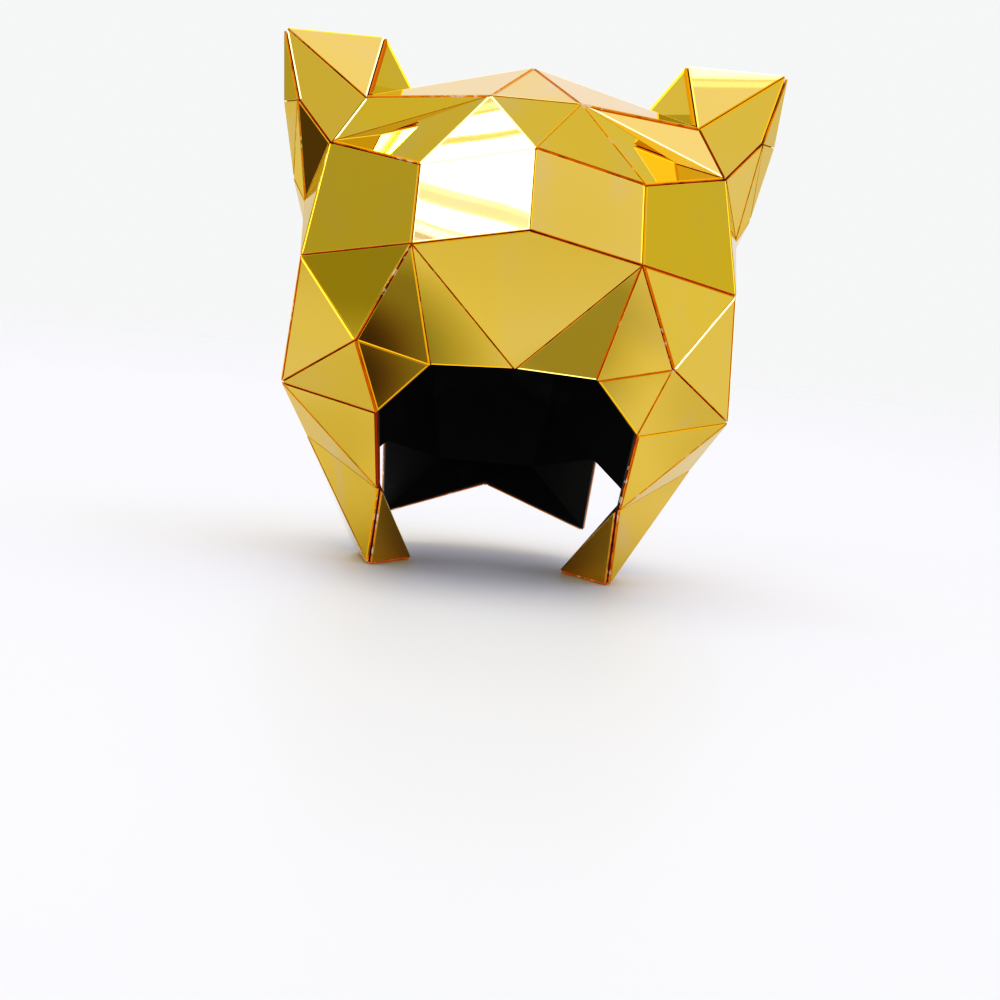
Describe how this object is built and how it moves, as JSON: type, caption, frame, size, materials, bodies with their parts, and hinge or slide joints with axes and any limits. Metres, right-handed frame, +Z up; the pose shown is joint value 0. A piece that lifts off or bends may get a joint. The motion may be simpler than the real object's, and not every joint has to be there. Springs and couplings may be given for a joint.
{
  "type": "panther mask",
  "caption": "Full-head panther mask of flat gold mirror panels on a black faceted backing, with flat-topped ears, open eye holes and an open neck.",
  "frame": {"origin": "middle of the mask's box in plan, on the surface that its two jaw points stand on", "axes": "+Z up towards the crown, -Y the way the face looks, +X the wearer's left"},
  "size_m": [0.2798, 0.2662, 0.2905],
  "materials": {
    "gold_mirror": "gold mirror acrylic with amber laser-cut edges",
    "backing": "black satin plastic"
  },
  "bodies": {
    "root": {"backing": "backing", "brow_panels_left": "gold_mirror", "brow_panels_right": "gold_mirror", "cheek_lower_left": "gold_mirror", "cheek_lower_right": "gold_mirror", "cheek_panels_left": "gold_mirror", "cheek_panels_right": "gold_mirror", "cheek_upper_left": "gold_mirror", "cheek_upper_right": "gold_mirror", "chin_panels": "gold_mirror", "crown_flank_left": "gold_mirror", "crown_flank_right": "gold_mirror", "crown_rear": "gold_mirror", "crown_shoulder_left": "gold_mirror", "crown_shoulder_right": "gold_mirror", "crown_slope_left": "gold_mirror", "crown_slope_right": "gold_mirror", "crown_top": "gold_mirror", "ear_back_lower_left": "gold_mirror", "ear_back_lower_right": "gold_mirror", "ear_back_upper_left": "gold_mirror", "ear_back_upper_right": "gold_mirror", "ear_front_panels_left": "gold_mirror", "ear_front_panels_right": "gold_mirror", "ear_root_left": "gold_mirror", "ear_root_right": "gold_mirror", "ear_side_left": "gold_mirror", "ear_side_right": "gold_mirror", "ear_valley_left": "gold_mirror", "ear_valley_right": "gold_mirror", "forehead_panels": "gold_mirror", "jaw_flank_left": "gold_mirror", "jaw_flank_right": "gold_mirror", "jaw_panels_left": "gold_mirror", "jaw_panels_right": "gold_mirror", "jaw_rear_left": "gold_mirror", "jaw_rear_right": "gold_mirror", "muzzle_panels": "gold_mirror", "nape_corner_left": "gold_mirror", "nape_corner_right": "gold_mirror", "nape_diamond": "gold_mirror", "nape_inner_left": "gold_mirror", "nape_inner_right": "gold_mirror", "nape_outer_left": "gold_mirror", "nape_outer_right": "gold_mirror", "nose_panel": "gold_mirror", "side_plate_left": "gold_mirror", "side_plate_right": "gold_mirror", "side_rear_left": "gold_mirror", "side_rear_right": "gold_mirror", "skull_plate_left": "gold_mirror", "skull_plate_right": "gold_mirror", "temple_panels_left": "gold_mirror", "temple_panels_right": "gold_mirror", "temple_rear_left": "gold_mirror", "temple_rear_right": "gold_mirror", "tuft_inner_left": "gold_mirror", "tuft_inner_right": "gold_mirror", "tuft_rear_left": "gold_mirror", "tuft_rear_right": "gold_mirror"}
  },
  "joints": []
}
